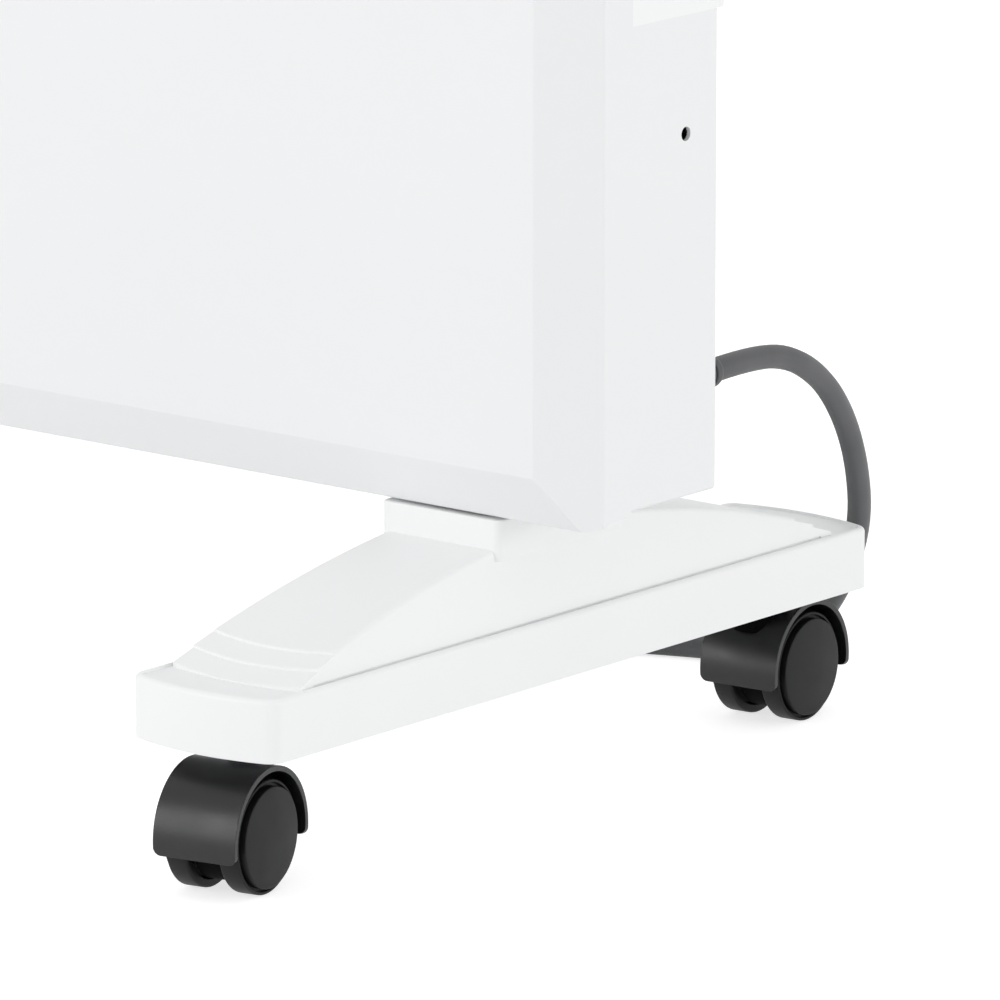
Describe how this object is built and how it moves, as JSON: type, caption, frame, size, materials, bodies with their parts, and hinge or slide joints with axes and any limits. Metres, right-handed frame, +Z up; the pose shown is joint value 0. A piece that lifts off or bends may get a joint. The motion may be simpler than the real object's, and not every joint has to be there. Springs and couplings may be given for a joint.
{
  "type": "mobile panel convector heater",
  "caption": "Flat white panel convector heater with bevelled front sheet, top outlet grille, side controls and two moulded feet on twin-wheel castors.",
  "frame": {"origin": "on the floor under the middle of the heater", "axes": "+Z up, +X along the panel's width to the control side, -Y towards the room (front panel)"},
  "size_m": [0.62, 0.3784, 0.4882],
  "materials": {
    "painted_steel_white": "smooth semi-matt white powder coat on sheet steel",
    "white_plastic": "fine-grained white moulded plastic",
    "grey_plastic": "satin mid-grey moulded plastic",
    "black_nylon": "satin black moulded nylon",
    "zinc_steel": "bright zinc-plated steel",
    "element_aluminium": "extruded aluminium, dull",
    "dark_moulding": "heat-proof dark moulding",
    "cord_sheath": "matt dark grey flexible sheath",
    "nickel_brass": "nickel-plated brass"
  },
  "bodies": {
    "root": {"front_cover": "painted_steel_white", "outlet_grille": "white_plastic", "rear_cover": "painted_steel_white", "control_housing": "white_plastic", "grip_housing": "white_plastic", "thermostat": "dark_moulding", "rocker_frames": "grey_plastic", "heating_element": "element_aluminium", "element_terminals": "zinc_steel", "element_brackets": "zinc_steel", "element_bushes": "dark_moulding", "heat_shield": "zinc_steel", "thermal_cutout": "dark_moulding", "tip_switch": "dark_moulding", "terminal_block": "dark_moulding", "inside_wires": "cord_sheath", "cover_screws": "zinc_steel", "cord_gland": "cord_sheath", "foot_right": "white_plastic", "foot_left": "white_plastic", "foot_screws": "zinc_steel", "castor_sockets": "zinc_steel", "supply_cord": "cord_sheath", "cord_coil": "cord_sheath", "cord_tail": "cord_sheath", "cord_tie": "cord_sheath", "plug_body": "cord_sheath", "plug_pins": "nickel_brass"},
    "knob": {"thermostat_knob": "grey_plastic"},
    "power_rocker": {"power_rocker": "grey_plastic"},
    "heat_rocker": {"heat_rocker": "grey_plastic"},
    "castor_front_right": {"castor_hood_front_right": "black_nylon", "castor_stem_front_right": "zinc_steel", "castor_axle_front_right": "zinc_steel"},
    "wheel_a_front_right": {"castor_wheel_a_front_right": "black_nylon"},
    "wheel_b_front_right": {"castor_wheel_b_front_right": "black_nylon"},
    "castor_rear_right": {"castor_hood_rear_right": "black_nylon", "castor_stem_rear_right": "zinc_steel", "castor_axle_rear_right": "zinc_steel"},
    "wheel_a_rear_right": {"castor_wheel_a_rear_right": "black_nylon"},
    "wheel_b_rear_right": {"castor_wheel_b_rear_right": "black_nylon"},
    "castor_front_left": {"castor_hood_front_left": "black_nylon", "castor_stem_front_left": "zinc_steel", "castor_axle_front_left": "zinc_steel"},
    "wheel_a_front_left": {"castor_wheel_a_front_left": "black_nylon"},
    "wheel_b_front_left": {"castor_wheel_b_front_left": "black_nylon"},
    "castor_rear_left": {"castor_hood_rear_left": "black_nylon", "castor_stem_rear_left": "zinc_steel", "castor_axle_rear_left": "zinc_steel"},
    "wheel_a_rear_left": {"castor_wheel_a_rear_left": "black_nylon"},
    "wheel_b_rear_left": {"castor_wheel_b_rear_left": "black_nylon"}
  },
  "joints": [
    {"name": "knob_turn", "type": "hinge", "parent": "root", "child": "knob", "pos_m": [0.305, 0.00535, 0.4328], "axis": [1, 0, 0], "range_deg": [-270, 0]},
    {"name": "power_rocker_tilt", "type": "hinge", "parent": "root", "child": "power_rocker", "pos_m": [0.3055, 0.00535, 0.3888], "axis": [0, 1, 0], "range_deg": [0, 12]},
    {"name": "heat_rocker_tilt", "type": "hinge", "parent": "root", "child": "heat_rocker", "pos_m": [0.3055, 0.00535, 0.3588], "axis": [0, 1, 0], "range_deg": [0, 12]},
    {"name": "swivel_front_right", "type": "hinge", "parent": "root", "child": "castor_front_right", "pos_m": [0.2565, -0.11345, 0.0158], "axis": [0, 0, 1], "continuous": true},
    {"name": "roll_a_front_right", "type": "hinge", "parent": "castor_front_right", "child": "wheel_a_front_right", "pos_m": [0.25832, -0.12379, 0.0158], "axis": [-0.9848, -0.1736, 0], "continuous": true},
    {"name": "roll_b_front_right", "type": "hinge", "parent": "castor_front_right", "child": "wheel_b_front_right", "pos_m": [0.25832, -0.12379, 0.0158], "axis": [-0.9848, -0.1736, 0], "continuous": true},
    {"name": "swivel_rear_right", "type": "hinge", "parent": "root", "child": "castor_rear_right", "pos_m": [0.2565, 0.10944, 0.0158], "axis": [0, 0, 1], "continuous": true},
    {"name": "roll_a_rear_right", "type": "hinge", "parent": "castor_rear_right", "child": "wheel_a_rear_right", "pos_m": [0.25566, 0.11991, 0.0158], "axis": [0.9968, 0.0802, 0], "continuous": true},
    {"name": "roll_b_rear_right", "type": "hinge", "parent": "castor_rear_right", "child": "wheel_b_rear_right", "pos_m": [0.25566, 0.11991, 0.0158], "axis": [0.9968, 0.0802, 0], "continuous": true},
    {"name": "swivel_front_left", "type": "hinge", "parent": "root", "child": "castor_front_left", "pos_m": [-0.2565, -0.11345, 0.0158], "axis": [0, 0, 1], "continuous": true},
    {"name": "roll_a_front_left", "type": "hinge", "parent": "castor_front_left", "child": "wheel_a_front_left", "pos_m": [-0.25832, -0.12379, 0.0158], "axis": [-0.9848, 0.1736, 0], "continuous": true},
    {"name": "roll_b_front_left", "type": "hinge", "parent": "castor_front_left", "child": "wheel_b_front_left", "pos_m": [-0.25832, -0.12379, 0.0158], "axis": [-0.9848, 0.1736, 0], "continuous": true},
    {"name": "swivel_rear_left", "type": "hinge", "parent": "root", "child": "castor_rear_left", "pos_m": [-0.2565, 0.10944, 0.0158], "axis": [0, 0, 1], "continuous": true},
    {"name": "roll_a_rear_left", "type": "hinge", "parent": "castor_rear_left", "child": "wheel_a_rear_left", "pos_m": [-0.25566, 0.11991, 0.0158], "axis": [0.9968, -0.0802, 0], "continuous": true},
    {"name": "roll_b_rear_left", "type": "hinge", "parent": "castor_rear_left", "child": "wheel_b_rear_left", "pos_m": [-0.25566, 0.11991, 0.0158], "axis": [0.9968, -0.0802, 0], "continuous": true}
  ]
}
